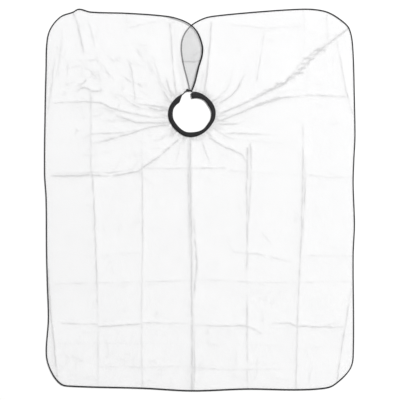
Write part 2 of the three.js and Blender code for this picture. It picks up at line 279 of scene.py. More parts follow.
# Each crease is its height, how far its slopes spread, how dark the painted shade along its line is (partly
# standing for the denser pinched cloth there), and its places, each with the share of the height and of the
# painted shade that the crease has there.
PACKING_CREASES = (
    (3.0, 17, 0.6, ((-427, 431, 0.5), (-427, 274, 0.5), (-427, 117, 0.6), (-419, 78, 1), (-407, -215, 0.9),
        (-399, -490, 0.5), (-399, -744, 0.5))),
    (2.2, 15, 0.5, ((-228, 235, 0.3), (-226, 60, 0.8), (-224, -160, 1), (-226, -210, 0.7),
        (-229, -470, 0.6), (-227, -744, 0.6))),
    (3.6, 15, 0.9, ((-36, 243, 0.8), (-38, 120, 1), (-36, 0, 0.9), (-33, -235, 0.9), (-31, -500, 1),
        (-31, -746, 0.9))),
    (1.6, 8, 0.6, ((-46, 236, 0.5), (-46, 100, 1), (-44, 0, 0.8), (-41, -150, 0.7), (-38, -240, 0.2))),
    (1.6, 8, 0.6, ((-24, -440, 0.1), (-22, -560, 0.9), (-21, -660, 1), (-25, -742, 0.7))),
    (2.4, 9, 0.8, ((-27, -40, 0), (-18, -160, 0.8), (-12, -250, 0.9), (-20, -330, 0.6), (-26, -460, 0))),
    (2.8, 12, 0.8, ((186, 204, 0.7), (185, 130, 1), (182, 40, 0.9), (185, -60, 0.5), (184, -250, 0.35),
        (185, -744, 0.4))),
    (1.6, 9, 0.6, ((198, 222, 0.7), (200, 150, 1), (198, 60, 0.9), (191, -60, 0.5), (188, -130, 0))),
    (2.9, 13, 0.6, ((403, 300, 0.3), (404, 150, 0.8), (400, 0, 1), (398, -110, 1), (393, -210, 0.9),
        (387, -350, 0.5), (381, -486, 0.7), (376, -740, 0.7))),
    (1.6, 9, 0.6, ((412, 190, 0), (412, 80, 1), (409, -30, 0.8), (403, -120, 0.5), (400, -200, 0))),
    (1.6, 12, 0.4, ((-227, 125, 0.5), (-120, 123, 0.7), (-40, 125, 0.9), (98, 125, 0.8))),
    (2.6, 12, 0.9, ((-568, 94, 0.7), (-423, 97, 1), (-345, 93, 0.8), (-243, 112, 1), (-160, 170, 0.9),
        (-86, 235, 0.8))),
    (-1.3, 8, 0.4, ((-568, 104, 0.3), (-423, 108, 0.8), (-345, 107, 0.8), (-243, 124, 0.5))),
    (1.8, 9, 0.5, ((-243, 112, 1), (-220, 92, 0.8), (-190, 64, 0.3))),
    (1.3, 12, 0.25, ((120, 115, 0.8), (260, 105, 0.6), (400, 100, 0.7), (520, 88, 1), (595, 90, 0.7))),
    (1.3, 12, 0.25, ((-560, -205, 0.3), (-400, -225, 0.4), (-313, -208, 0.8), (-235, -208, 0.9))),
    (1.5, 10, 0.4, ((112, -150, 0.5), (120, -190, 0.9), (140, -206, 1), (230, -212, 0.8),
        (352, -240, 0.5))),
    (1.2, 12, 0.25, ((411, -216, 0.8), (595, -219, 0.7))),
    (1.3, 11, 0.3, ((-560, -328, 0.8), (-410, -325, 0.8), (-230, -320, 0.6), (-110, -318, 0.9),
        (20, -312, 0.6), (220, -322, 0.8), (400, -322, 0.7), (585, -318, 0.5))),
    (1.7, 11, 0.45, ((-540, -482, 0.8), (-470, -486, 0.8), (-402, -486, 0.7))),
    (1.9, 11, 0.5, ((-400, -496, 0.9), (-330, -492, 0.9), (-228, -484, 0.6))),
    (1.5, 11, 0.35, ((-226, -480, 0.9), (-100, -482, 0.8), (-34, -486, 0.4))),
    (2.0, 11, 0.55, ((-28, -490, 0.5), (90, -494, 0.9), (184, -492, 1), (205, -502, 1), (240, -522, 0.5))),
    (1.8, 11, 0.55, ((290, -482, 0.4), (345, -482, 1), (380, -494, 1), (470, -497, 0.9), (560, -497, 0.7))),
    (1.1, 12, 0.2, ((-545, -562, 0.7), (-400, -560, 0.8), (-235, -562, 0.7), (60, -560, 0.2),
        (230, -566, 0.7), (340, -575, 0.4))),
    (1.3, 12, 0.3, ((-400, -652, 0.7), (-200, -655, 0.9), (-60, -650, 0.6), (80, -664, 0.9),
        (200, -664, 0.5), (360, -660, 0.3))),
    (1.4, 12, 0.3, ((-286, 724, 0.8), (-288, 660, 0.8))),
    (2.0, 12, 0.5, ((-276, 545, 0.7), (-262, 470, 1), (-254, 392, 0.8))),
    (1.6, 12, 0.35, ((255, 700, 0.5), (250, 640, 0.9), (238, 560, 0.7), (222, 468, 0.9))),
    (1.5, 12, 0.3, ((405, 734, 0.7), (409, 640, 0.8), (407, 590, 0.3))),
    (1.4, 12, 0.35, ((497, 726, 0.8), (500, 640, 0.7), (497, 600, 0.4))),
    (2.4, 13, 0.5, ((-117, 693, 0.8), (-110, 600, 1), (-102, 480, 1), (-96, 405, 0.5))),
    (3.0, 11, 0.8, ((45, 695, 0.7), (40, 620, 0.9), (30, 520, 1), (18, 424, 0.8))),
    (1.5, 12, 0.35, ((-274, 674, 0.8), (-215, 690, 0.9), (-140, 706, 0.5))),
    (1.4, 12, 0.3, ((125, 686, 0.8), (190, 680, 0.8), (250, 672, 0.9), (392, 680, 0.4))),
    (-1.2, 14, 0.5, ((-66, 542, 0.6), (-30, 540, 0.9), (0, 546, 0.6))),
)

PULLED_FOLDS = (
    (4.2, 15, 1.0, ((84, 339, 0.8), (172, 377, 0.9), (271, 427, 1), (324, 452, 0.7), (376, 490, 0.35),
        (450, 568, 0.3), (510, 618, 0.5), (552, 650, 0.7), (587, 675, 0.5))),
    (-1.6, 9, 0.3, ((300, 452, 0), (356, 492, 0.9), (396, 540, 1), (450, 584, 0.8), (500, 622, 0.3))),
    (3.0, 12, 0.85, ((86, 314, 0.8), (144, 336, 0.9), (200, 359, 1), (257, 380, 1), (314, 397, 0.8),
        (361, 403, 0.5), (430, 410, 0.4), (568, 404, 0.3))),
    (1.4, 16, 0.2, ((300, 418, 0.3), (350, 430, 1), (420, 436, 0.4))),
    (2.2, 9, 0.7, ((80, 380, 0.9), (118, 405, 1), (146, 436, 0.9), (172, 486, 0.3))),
    (1.8, 7, 0.7, ((66, 301, 0.5), (96, 297, 1), (128, 297, 0.9), (156, 301, 0.2))),
    (1.8, 9, 0.5, ((58, 281, 0.8), (84, 259, 1), (136, 238, 0.4))),
    (1.6, 9, 0.35, ((66, 395, 0.5), (110, 445, 0.8), (130, 520, 0.2))),
    (3.4, 11, 0.95, ((-120, 302, 1), (-180, 302, 0.9), (-244, 304, 1), (-290, 318, 0.8), (-325, 330, 0.4))),
    (2.8, 11, 0.65, ((-128, 322, 0.4), (-190, 324, 0.8), (-262, 338, 1), (-340, 358, 1), (-390, 380, 0.9),
        (-450, 384, 0.7), (-568, 380, 0.6))),
    (2.0, 10, 0.45, ((-130, 345, 0.6), (-200, 352, 0.6), (-260, 372, 0.8), (-330, 430, 0.2))),
    (2.4, 9, 0.75, ((-124, 293, 1), (-200, 284, 1), (-246, 268, 1), (-340, 240, 0.9), (-414, 222, 0.5))),
    (1.8, 10, 0.45, ((-244, 272, 0.8), (-334, 262, 1), (-424, 258, 0.8), (-456, 240, 0.4))),
    (1.6, 9, 0.4, ((-110, 268, 0.8), (-150, 240, 0.8), (-190, 226, 0.3))),
    (3.4, 12, 0.85, ((-498, 736, 0.6), (-480, 690, 1), (-468, 640, 1), (-456, 580, 0.4))),
    (2.2, 10, 0.4, ((-440, 700, 0.3), (-424, 660, 0.9), (-412, 600, 0.5))),
    (3.2, 24, 0.35, ((-120, 410, 0.9), (-152, 462, 1), (-184, 560, 0.5))),
    (2.4, 8, 0.9, ((-110, 404, 1), (-119, 432, 1), (-134, 480, 0.3))),
    (2.0, 7, 0.8, ((-112, 384, 0.9), (-130, 404, 1), (-146, 424, 0.4))),
    (2.0, 7, 0.8, ((-94, 408, 1), (-96, 440, 1), (-100, 470, 0.4))),
    (1.9, 7, 0.8, ((-128, 362, 1), (-164, 366, 0.9), (-204, 372, 0.4))),
    (1.8, 7, 0.7, ((-130, 352, 0.8), (-160, 350, 1), (-200, 362, 0.5))),
    (1.8, 7, 0.5, ((2, 424, 0.9), (6, 460, 0.8), (14, 500, 0.3))),
    (2.0, 9, 0.5, ((-122, 392, 0.9), (-150, 440, 0.7), (-176, 500, 0.3))),
    (2.2, 10, 0.45, ((-128, 362, 0.7), (-190, 372, 0.7), (-250, 378, 0.9), (-262, 390, 0.4))),
    (2.0, 8, 0.75, ((-478, 430, 0.5), (-452, 440, 1), (-420, 426, 1), (-384, 430, 0.5))),
    (1.8, 8, 0.6, ((-470, 446, 0.6), (-452, 462, 0.9), (-446, 474, 0.3))),
    (1.6, 10, 0.3, ((-396, 505, 0.6), (-392, 470, 0.8), (-386, 420, 0.5))),
    (2.4, 11, 0.75, ((38, 242, 0.6), (70, 222, 0.9), (104, 204, 1), (140, 189, 0.9), (164, 177, 0.5),
        (180, 150, 0.2))),
    (1.8, 11, 0.55, ((100, 260, 0.5), (130, 260, 1), (196, 259, 0.8), (300, 254, 0.3))),
    (1.5, 11, 0.25, ((110, 242, 0.3), (230, 230, 0.6), (360, 222, 0.3))),
    (1.7, 8, 0.5, ((6, 240, 0.9), (22, 190, 0.8), (40, 146, 0.2))),
    (1.6, 8, 0.4, ((-70, 240, 0.8), (-82, 200, 0.7), (-92, 150, 0.2))),
    (2.2, 13, 0.5, ((532, 646, 0.4), (548, 560, 0.7), (570, 440, 1), (596, 340, 0.7))),
    (2.2, 13, 0.5, ((594, -330, 0.6), (576, -450, 0.8), (556, -570, 1), (538, -700, 0.7))),
    (2.4, 12, 0.6, ((-594, -274, 0.6), (-588, -400, 0.9), (-574, -540, 1), (-560, -690, 0.8))),
    (1.8, 12, 0.4, ((-568, 548, 0.6), (-580, 450, 0.9), (-594, 352, 0.6))),
    (1.5, 12, 0.3, ((-540, 660, 0.4), (-548, 560, 0.7), (-566, 470, 0.4))),
    (1.2, 30, 0.0, ((-200, 60, 0.3), (-160, -10, 1), (-100, -30, 0.4))),
    (1.0, 26, 0.0, ((-200, -50, 0.3), (-150, -75, 1), (-90, -60, 0.4))),
)

CREASE_STEP = 7
CREASE_DRIFT, DRIFT_SCALE = 2.4, 24  # how far a crease strays from its line, slowly and in short jolts
CREASE_JOLT, JOLT_SCALE = 1.3, 8
CREASE_BREAKS = ((0.9, 38, 9), (0.7, 12, 14))  # how much, how slowly and how seeded a crease comes and goes
CREASE_REACH = 4.5  # how many times its spread a crease is felt
CREASE_SHADE_WIDTH = 1.7  # of the faintest line of painted crease shade; darker ones are wider
# how strongly a crease's darkness turns into painted shade
CREASE_SHADE_GAIN = 1.7
MOUND_LIMIT = 6.5  # no fold stands higher than this above the cloth round it


def pressed(places):
    """A folded line: straight from place to place, with sharp turns."""
    legs = [spaced(np.array(pair, float), CREASE_STEP)[:-1] for pair in zip(places, places[1:])]
    return np.vstack([*legs, np.array(places[-1], float)])


def creases():
    """All creases as (height, spread, shade, line), shade being how dark their painted shade is. A line's
    third column is its share of height and shade.
    """
    made = [(h, s, m, pressed(places)) for h, s, m, places in PACKING_CREASES]
    made += [(h, s, m, spline(places, CREASE_STEP)) for h, s, m, places in PULLED_FOLDS]
    wander = random.Random(5)
    for height, spread, crease_shade, line in made:
        phase = wander.uniform(0, 50)
        for place in line[1:-1]:
            x, y = place[:2].copy()
            drift = [waver(x, y, DRIFT_SCALE, phase + k) for k in (0, 20)]
            jolt = [waver(x, y, JOLT_SCALE, phase + k) for k in (30, 40)]
            broken = sum(size * waver(x, y, scale, phase + seed) for size, scale, seed in CREASE_BREAKS)
            place[:2] += CREASE_DRIFT * np.array(drift) + CREASE_JOLT * np.array(jolt)
            place[2] *= max(0, 0.95 + broken)
    return made + rough_strokes() + gathers() + wrinkles()


# The two bunched folds: which pulled fold, its places counted from the neck, how wide the bunch grows and how
# steeply its strokes lie across it.
BUNCHED = ((0, 6, 50, 12, 0.8), (2, 5, 26, 5, 0.4))
BUNCH_STEP = 12
STROKE_STEP = 4
STROKE_SPREAD = 3.4


def bunch_at(along):
    """How fully a fold is bunched at a share of its run: more and more, and hardly at all near the corner."""
    grown = 0.25 + 0.75 * float(smooth(along / 0.42))
    return grown * (1 - 0.85 * float(smooth((along - 0.74) / 0.16)))


def rough_strokes():
    """The long folds that are pulled to the back corner are bunched: short strokes lie across their run."""
    draw = random.Random(23)
    made = []
    for fold, first, last, width, steep in BUNCHED:
        run = spline(PULLED_FOLDS[fold][3], BUNCH_STEP)
        last = min(last, len(run) - 3)
        for i in range(first, last):
            here, way = run[i][:2], unit(run[i + 1][:2] - run[i][:2])
            across = np.array((-way[1], way[0]))
            bunched = bunch_at((i - first) / (last - first))
            centre = here + across * draw.uniform(-0.5, 1) * width * bunched + way * draw.uniform(-4, 4)
            half = draw.uniform(3, 8) + 4 * bunched
            turn = steep * bunched * draw.uniform(0.5, 1.3) * draw.choice((1, 1, 1, -0.5))
            slope = way * math.cos(turn) - across * math.sin(turn)
            ends = np.array([centre - slope * half, centre + slope * half])
            line = np.column_stack([ends, (1, 0.5)])
            # the stroke's height and how dark the painted shade along it is
            height, crease_shade = draw.uniform(0.9, 1.8), draw.uniform(0.5, 1.3) * bunched
            made.append((height, STROKE_SPREAD, crease_shade, spaced(line, STROKE_STEP)))
    return made


WRINKLES = 330
WRINKLE_SPREAD = 6.0
WRINKLE_STEP = 9
WRINKLED_CORNER = ((-360, 480), (190, 260))  # the centre and the reach of a wrinkled patch
WRINKLED_FOOT = ((-150, -640), (420, 110))


def wrinkles():
    """Short faint wrinkles, thick in the upper left of the cape and along its foot, sparse elsewhere."""
    draw = random.Random(31)
    made = []
    while len(made) < WRINKLES:
        centre = np.array((draw.uniform(-585, 585), draw.uniform(-725, 700)))
        upper_left = patch(*centre, *WRINKLED_CORNER)
        foot = patch(*centre, *WRINKLED_FOOT)
        if draw.random() > 0.1 + 0.9 * upper_left + 0.45 * foot:
            continue
        out = centre - NECK
        radial = math.atan2(out[1], out[0])
        pulled = math.exp(-((np.linalg.norm(out) / 420) ** 2))
        level = draw.choice((0, 0, math.pi / 2))
        angle = draw.gauss(radial if draw.random() < pulled + 0.2 * upper_left else level, 0.35)
        half = draw.uniform(10, 42)
        way = np.array((math.cos(angle), math.sin(angle)))
        bend = np.array((-way[1], way[0])) * draw.uniform(-5, 5)
        share = draw.uniform(0.5, 1)
        places = [(*(centre - way * half), 0.1), (*(centre + bend), share), (*(centre + way * half), 0.1)]
        rise = draw.uniform(0.6, 1.6) * draw.choice((1, 1, -0.6))
        # how dark the painted shade along the wrinkle is, darker in the upper left
        crease_shade = draw.uniform(0.1, 0.3) + 0.2 * upper_left
        made.append((rise, WRINKLE_SPREAD, crease_shade, spline(places, WRINKLE_STEP)))
    return made


GATHERS = 76
GATHER_SPREAD = 4.0
GATHER_STEP = 6
GATHERED_FROM, GATHERED_TO = math.radians(84), math.radians(-241)


def gathers():
    """Short pleats that run out from the neck seam, where the longer cloth edge is eased into it."""
    draw = random.Random(11)
    made = []
    for i in range(GATHERS):
        angle = GATHERED_FROM + (GATHERED_TO - GATHERED_FROM) * (i + draw.uniform(0.2, 0.8)) / GATHERS
        sideways = abs(math.cos(angle))
        length = draw.uniform(14, 44) * (0.7 + 0.8 * sideways)
        height = draw.uniform(1.0, 2.6) * draw.choice((1, 1, -0.7))
        lean = draw.uniform(-0.12, 0.12)
        outside = band_outer(angle) + 1
        places = []
        for share in (0, 0.35, 0.7, 1):
            place = polar(angle + lean * share, outside + length * share)
            places.append((place[0], place[1], (1 - share) ** 0.8))
        # the third number is how dark the painted shade along the pleat is
        made.append((height, GATHER_SPREAD, draw.uniform(0.15, 0.9), spline(places, GATHER_STEP)))
    return made


def beside(line, xy):
    """Each place's distance from the line, and the line's share at its nearest point."""
    nearest = np.full(len(xy), 1e9)
    share = np.zeros(len(xy))
    for a, b in zip(line[:-1], line[1:]):
        leg = b[:2] - a[:2]
        t = np.clip((xy - a[:2]) @ leg / (leg @ leg), 0, 1)
        away = np.linalg.norm(xy - a[:2] - t[:, None] * leg, axis=1)
        closer = away < nearest
        nearest[closer] = away[closer]
        share[closer] = (a[2] + t * (b[2] - a[2]))[closer]
    return nearest, share


def folds_at(xy):
    """The height that all creases give each place, and how much painted crease shade they give it."""
    height, crease_shade = np.zeros(len(xy)), np.zeros(len(xy))
    for rise, spread, dark, line in all_creases:
        reach = CREASE_REACH * spread
        low, high = line[:, :2].min(0) - reach, line[:, :2].max(0) + reach
        near = np.flatnonzero(((xy > low) & (xy < high)).all(1))
        if not len(near):
            continue
        away, share = beside(line, xy[near])
        height[near] += rise * share * np.exp(-away / spread)
        # dark is how deep a crease's painted shade is; deeper painted shade is also drawn wider
        strength = np.clip(CREASE_SHADE_GAIN * dark * share, 0, 1)
        crease_shade[near] = np.maximum(crease_shade[near], strength * np.exp(-((away / (CREASE_SHADE_WIDTH + 2 * dark)) ** 2)))
    return MOUND_LIMIT * np.tanh(height / MOUND_LIMIT), crease_shade


BORDER_STEP = 2


def near_tree(*lines):
    """A tree that finds the nearest place of some lines."""
    places = np.vstack([spaced(line, BORDER_STEP) for line in lines])
    tree = KDTree(len(places))
    for i, (x, y) in enumerate(places):
        tree.insert((x, y, 0), i)
    tree.balance()
    return tree


def away_from(tree, xy):
    return np.array([tree.find((x, y, 0))[2] for x, y in xy])


all_creases = creases()
hem_trees = {"left": near_tree(main_hem, left_hem), "right": near_tree(main_hem, right_hem)}
neck_trees = {"left": near_tree(main_neck, left_neck), "right": near_tree(main_neck, right_neck)}


CRUMPLED_CORNER = ((-400, 520), (170, 210))
CRUMPLED_FOOT = ((-420, -680), (260, 120))
CRUMPLE_HEIGHT = 1.7
FACET = 62  # size of the crumpled cloth's facets


def rough(xy):
    """The slow swell of the laid cloth and the crumpling of its upper part, the same wherever it is asked."""
    out = []
    for x, y in xy:
        swell = 0.9 * waver(x, y, 210, 1.7) + 0.4 * waver(x, y, 75, 4.1)
        near, next_near = noise.voronoi(Vector((x / FACET, y / FACET, 0.4)))[0][:2]
        crumpled = 0.25 + 0.75 * patch(x, y, *CRUMPLED_CORNER)
        crumpled += 0.4 * patch(x, y, *CRUMPLED_FOOT)
        crumple = CRUMPLE_HEIGHT * crumpled * min(next_near - near, 0.5)
        fine = 0.22 * crumpled * waver(x, y, 17, 8.3)
        out.append(swell + crumple + fine)
    return np.array(out)


LAP_CENTRE = (-32, 560)
LAP_REACH = (62, 165)
LAP_RELIEF = 0.3


def calm(xy):
    """The lapped flaps lie flatter than the rest, so that one clears the other."""
    away = np.hypot((xy[:, 0] - LAP_CENTRE[0]) / LAP_REACH[0], (xy[:, 1] - LAP_CENTRE[1]) / LAP_REACH[1])
    return LAP_RELIEF + (1 - LAP_RELIEF) * smooth((away - 0.85) / 0.4)


HEM_SLOPE = 26  # how far from a tape the cloth has reached its own height
NECK_SLOPE = 9


def ground(xy, side):
    """Height of the cloth's top and its painted crease shade, for places on one side of the back opening."""
    fold, crease_shade = folds_at(xy)
    level = calm(xy)
    from_hem = smooth(away_from(hem_trees[side], xy) / HEM_SLOPE)
    from_neck = smooth(away_from(neck_trees[side], xy) / NECK_SLOPE)
    relief = REST - EDGE_MID + level * (fold + rough(xy))
    height = EDGE_MID + relief * from_hem * from_neck
    return np.maximum(height, LEAST_HEIGHT), crease_shade


LIFT_SLOPE = 14  # how far from its fold's foot the upper flap has fully risen, and how that grows up the fold
LIFT_SLOPE_GROWTH = 0.1
LIFT_KEPT = 50  # how far up from the foot it keeps its full lift, and the stretch in which that lessens
LIFT_LESSENS = 100


def lift(xy):
    """How much higher the upper flap lies than it would on the floor."""
    xy = np.atleast_2d(xy)
    across = (xy - LEFT_FOOT) @ LEFT_IN
    up = xy[:, 1] - LEFT_FOOT[1]
    full = UPPER_LIFT + (CROSSING_LIFT - UPPER_LIFT) * smooth((up - LIFT_KEPT) / LIFT_LESSENS)
    return full * smooth(across / (LIFT_SLOPE + LIFT_SLOPE_GROWTH * np.maximum(up, 0)))


# ---------------------------------------------------------------- meshes

SMOOTH_ANGLE = math.radians(50)


def new_piece(name, places, faces, materials, indices=None, uvs=None):
    """A mesh object from places in millimetres, at the origin."""
    mesh = bpy.data.meshes.new(name)
    mesh.from_pydata((np.array(places) * MM).tolist(), [], [list(f) for f in faces])
    for material in materials:
        mesh.materials.append(material)
    if indices is not None:
        mesh.polygons.foreach_set("material_index", indices)
    if uvs is not None:
        layer = mesh.uv_layers.new(name="run")
        order = np.empty(len(mesh.loops), np.int32)
        mesh.loops.foreach_get("vertex_index", order)
        layer.data.foreach_set("uv", np.array(uvs, np.float32)[order].ravel())
    mesh.validate()
    piece = bpy.data.objects.new(name, mesh)
    bpy.context.scene.collection.objects.link(piece)
    for other in bpy.context.selected_objects:
        other.select_set(False)
    piece.select_set(True)
    bpy.context.view_layer.objects.active = piece
    bpy.ops.object.shade_smooth_by_angle(angle=SMOOTH_ANGLE)
    return piece


def inside(xy, border):
    """Which places lie inside a closed border."""
    found = np.zeros(len(xy), bool)
    x, y = xy.T
    for (ax, ay), (bx, by) in zip(border, np.roll(border, -1, axis=0)):
        if ay == by:
            continue
        crosses = (ay > y) != (by > y)
        found ^= crosses & (x < ax + (bx - ax) * (y - ay) / (by - ay))
    return found


CELL = 4.0


def thinned(groups, border):
    """Keeps a place only where no earlier one, and no place of the border, is nearer than its group's gap."""
    taken = {}

    def take(x, y):
        taken.setdefault((int(x // CELL), int(y // CELL)), []).append((x, y))

    def crowded(x, y, gap):
        span = int(gap / CELL) + 1
        cx, cy = int(x // CELL), int(y // CELL)
        for i in range(cx - span, cx + span + 1):
            for j in range(cy - span, cy + span + 1):
                for px, py in taken.get((i, j), ()):
                    if (px - x) ** 2 + (py - y) ** 2 < gap * gap:
                        return True
        return False

    kept = []
    for x, y in border:
        take(x, y)
    for places, gap in groups:
        for x, y in places:
            if not crowded(x, y, gap):
                take(x, y)
                kept.append((x, y))
    return np.array(kept)


CREASE_ROWS = ((0, 2.2), (2.4, 2.0), (5, 2.4), (10, 4.5))  # how far beside a crease, and the least gap there
LEAST_RISE = 0.9  # lower creases get no rows


def crease_rows(offset):
    """Places along every crease worth its own rows, to both sides at an offset."""
    rows = []
    for rise, spread, _, line in all_creases:
        if abs(rise) < LEAST_RISE:
            continue
        path = spaced(line[:, :2], 6 if spread > 5 else 4)
        for side in (-1, 1) if offset else (1,):
            rows.append(path + side * offset * right_of(path))
    return np.vstack(rows)


NUDGE = 1.5


def honeycomb(low, high, spacing):
    """Evenly spread places over a box, each nudged a little."""
    draw = random.Random(3)
    row_gap = spacing * math.sqrt(3) / 2
    places = []
    for j in range(int((high[1] - low[1]) / row_gap) + 1):
        for i in range(int((high[0] - low[0]) / spacing) + 1):
            x = low[0] + (i + 0.5 * (j % 2)) * spacing + draw.uniform(-NUDGE, NUDGE)
            places.append((x, low[1] + j * row_gap + draw.uniform(-NUDGE, NUDGE)))
    return np.array(places)


def shoelace(border):
    """A border's area, negative where it runs clockwise."""
    x, y = border.T
    return 0.5 * float(x @ np.roll(y, -1) - y @ np.roll(x, -1))


FILL_GAP = 0.72  # the least gap of the filling places, as a share of their spacing
FOLD_GAP = 2.0


def cloth(name, border, side_of, lifted, spacing, extra=()):
    """One panel of the cape: a thin closed shell over the border, creased and gathered."""
    if shoelace(border) < 0:
        border = border[::-1]
    low, high = border.min(0), border.max(0)
    groups = [(np.vstack([*extra]), FOLD_GAP)] if len(extra) else []
    groups += [(crease_rows(offset), gap) for offset, gap in CREASE_ROWS]
    groups.append((honeycomb(low, high, spacing), FILL_GAP * spacing))
    groups = [(places[inside(places, border)], gap) for places, gap in groups]
    inner = thinned(groups, border)
    flat = np.vstack([border, inner])
    loop = list(range(len(border)))
    found = delaunay_2d_cdt([Vector(p) for p in flat], [], [loop], 1, 1e-4)
    xy = np.array([tuple(p) for p in found[0]])
    faces = [f for f in found[2] if len(f) == 3]
    used = sorted({i for f in faces for i in f})
    renumber = {old: new for new, old in enumerate(used)}
    xy = xy[used]
    faces = [tuple(renumber[i] for i in f) for f in faces]
    height, crease_shade = np.zeros(len(xy)), np.zeros(len(xy))
    sides = side_of(xy)
    for side in ("left", "right"):
        chosen = np.flatnonzero(sides == side)
        if len(chosen):
            height[chosen], crease_shade[chosen] = ground(xy[chosen], side)
    if lifted:
        height += lift(xy)
    count = len(xy)
    top = np.column_stack([xy, height])
    under = np.column_stack([xy, height - CLOTH_THICKNESS])
    edges = {}
    for f in faces:
        for a, b in ((f[0], f[1]), (f[1], f[2]), (f[2], f[0])):
            edges[(a, b)] = edges.get((a, b), 0) + 1
    rim = [(b, a, a + count, b + count) for a, b in edges if (b, a) not in edges]
    turned = [(f[2] + count, f[1] + count, f[0] + count) for f in faces]
    piece = new_piece(name, np.vstack([top, under]), faces + turned + rim, [cloth_material])
    # the painted crease shade, kept on the mesh for the cloth's material
    crease_shade_layer = piece.data.attributes.new("crease", "FLOAT", "POINT")
    crease_shade_layer.data.foreach_set("value", np.tile(crease_shade, 2).astype(np.float32))
    return piece, abs(shoelace(border)) * MM * MM


def ring_faces(steps, n):
    """The walls between rings of n places, and the two ends."""
    faces = []
    for i in range(steps):
        for k in range(n):
            a, b = i * n + k, i * n + (k + 1) % n
            faces.append((a, b, b + n, a + n))
    faces.append(tuple(range(n))[::-1])
    faces.append(tuple(steps * n + k for k in range(n)))
    return faces


def swept(name, path, section, materials, scale=None, stitches=()):
    """A tape along a path of (x, y, z): the section's places are (across, up), closed at both ends."""
    across, run = right_of(path[:, :2]), run_along(path[:, :2])
    scale = np.ones(len(path)) if scale is None else scale
    n = len(section)
    places, uvs = [], []
    for i, place in enumerate(path):
        for k, (out, up) in enumerate(section):
            sideways = across[i] * out * scale[i]
            places.append((place[0] + sideways[0], place[1] + sideways[1], place[2] + up))
            uvs.append((run[i] * MM, k / n))
    faces = ring_faces(len(path) - 1, n)
    walls = len(faces)
    for row in stitches:
        join(places, faces, *stitch_row(path, **row))
    indices = [0] * walls + [1] * (len(faces) - walls)
    uvs += [(0, 0)] * (len(places) - len(uvs))
    return new_piece(name, places, outward(places, faces, n), materials, indices, uvs)


def outward(places, faces, n):
    """Turns every face round if the first wall faces inwards."""
    a, b, c = (np.array(places[i]) for i in faces[0][:3])
    centre = np.mean([places[i] for i in range(2 * n)], axis=0)
    if np.dot(np.cross(b - a, c - b), a - centre) < 0:
        return [tuple(f[::-1]) for f in faces]
    return faces


def join(places, faces, more, more_faces):
    """Adds a second mesh's places and faces to the first one's."""
    faces += [tuple(v + len(places) for v in f) for f in more_faces]
    places += more


# Place along a stitch, and its fullness there.
STITCH_RINGS = ((-1, 0.35), (-0.5, 0.9), (0.5, 0.9), (1, 0.35))


def stitch_row(path, offset, up, pitch, length, width, height, slant=0.0):
    """A row of raised stitches beside the path, each a small rounded bead of thread."""
    across, run = right_of(path[:, :2]), run_along(path[:, :2])
    places, faces = [], []
    for s in np.arange(pitch, run[-1] - pitch, pitch):
        at = np.array([np.interp(s, run, path[:, k]) for k in range(3)])
        side = np.array([np.interp(s, run, across[:, k]) for k in range(2)])
        side /= np.linalg.norm(side)
        along = np.array((-side[1], side[0])) * math.cos(slant) + side * math.sin(slant)
        sideways = np.array((along[1], -along[0]))
        middle = at[:2] + side * offset
        base = len(places)
        for reach, size in STITCH_RINGS:
            for turn in range(4):
                angle = turn * math.pi / 2
                flat = middle + along * reach * length / 2 + sideways * math.cos(angle) * width / 2 * size
                places.append((flat[0], flat[1], at[2] + up + math.sin(angle) * height / 2 * size))
        for ring in range(3):
            for turn in range(4):
                a = base + 4 * ring + turn
                b = base + 4 * ring + (turn + 1) % 4
                faces.append((a, b, b + 4, a + 4))
        faces.append((base + 3, base + 2, base + 1, base))
        faces.append((base + 12, base + 13, base + 14, base + 15))
    return places, faces


# ---------------------------------------------------------------- materials


def new_material(name):
    material = bpy.data.materials.new(name)
    material.use_nodes = True
    tree = material.node_tree
    shader = tree.nodes["Principled BSDF"]
    return material, tree, shader


def add(tree, kind, inputs=(), **settings):
    """A node with its settings and its inputs, each a value or another node's output."""
    made = tree.nodes.new(kind)
    for key, value in settings.items():
        setattr(made, key, value)
    for key, value in dict(inputs).items():
        if isinstance(value, bpy.types.NodeSocket):
            tree.links.new(value, made.inputs[key])
        else:
            made.inputs[key].default_value = value
    return made


def mixed(tree, factor, a, b):
    """A colour between a and b."""
    node = add(tree, "ShaderNodeMix", data_type="RGBA")
    for index, value in ((0, factor), (6, a), (7, b)):
        if isinstance(value, bpy.types.NodeSocket):
            tree.links.new(value, node.inputs[index])
        elif index:
            node.inputs[index].default_value = (*value, 1)
        else:
            node.inputs[index].default_value = value
    return node.outputs[2]


def sums(tree, kind, a, b=0.0, clamp=False):
    """The result of one arithmetic step."""
    return add(tree, "ShaderNodeMath", {0: a, 1: b}, operation=kind, use_clamp=clamp).outputs[0]


def noisy(tree, place, scale, detail):
    return add(tree, "ShaderNodeTexNoise", {"Vector": place, "Scale": scale, "Detail": detail}).outputs[0]


def ranged(tree, value, low, high, to_low, to_high):
    """A value between low and high brought to between two others."""
    return add(tree, "ShaderNodeMapRange", {0: value, 1: low, 2: high, 3: to_low, 4: to_high}).outputs[0]


def bumped(tree, shader, height, strength, distance):
    bump = add(tree, "ShaderNodeBump", {"Strength": strength, "Distance": distance, "Height": height})
    tree.links.new(bump.outputs[0], shader.inputs["Normal"])


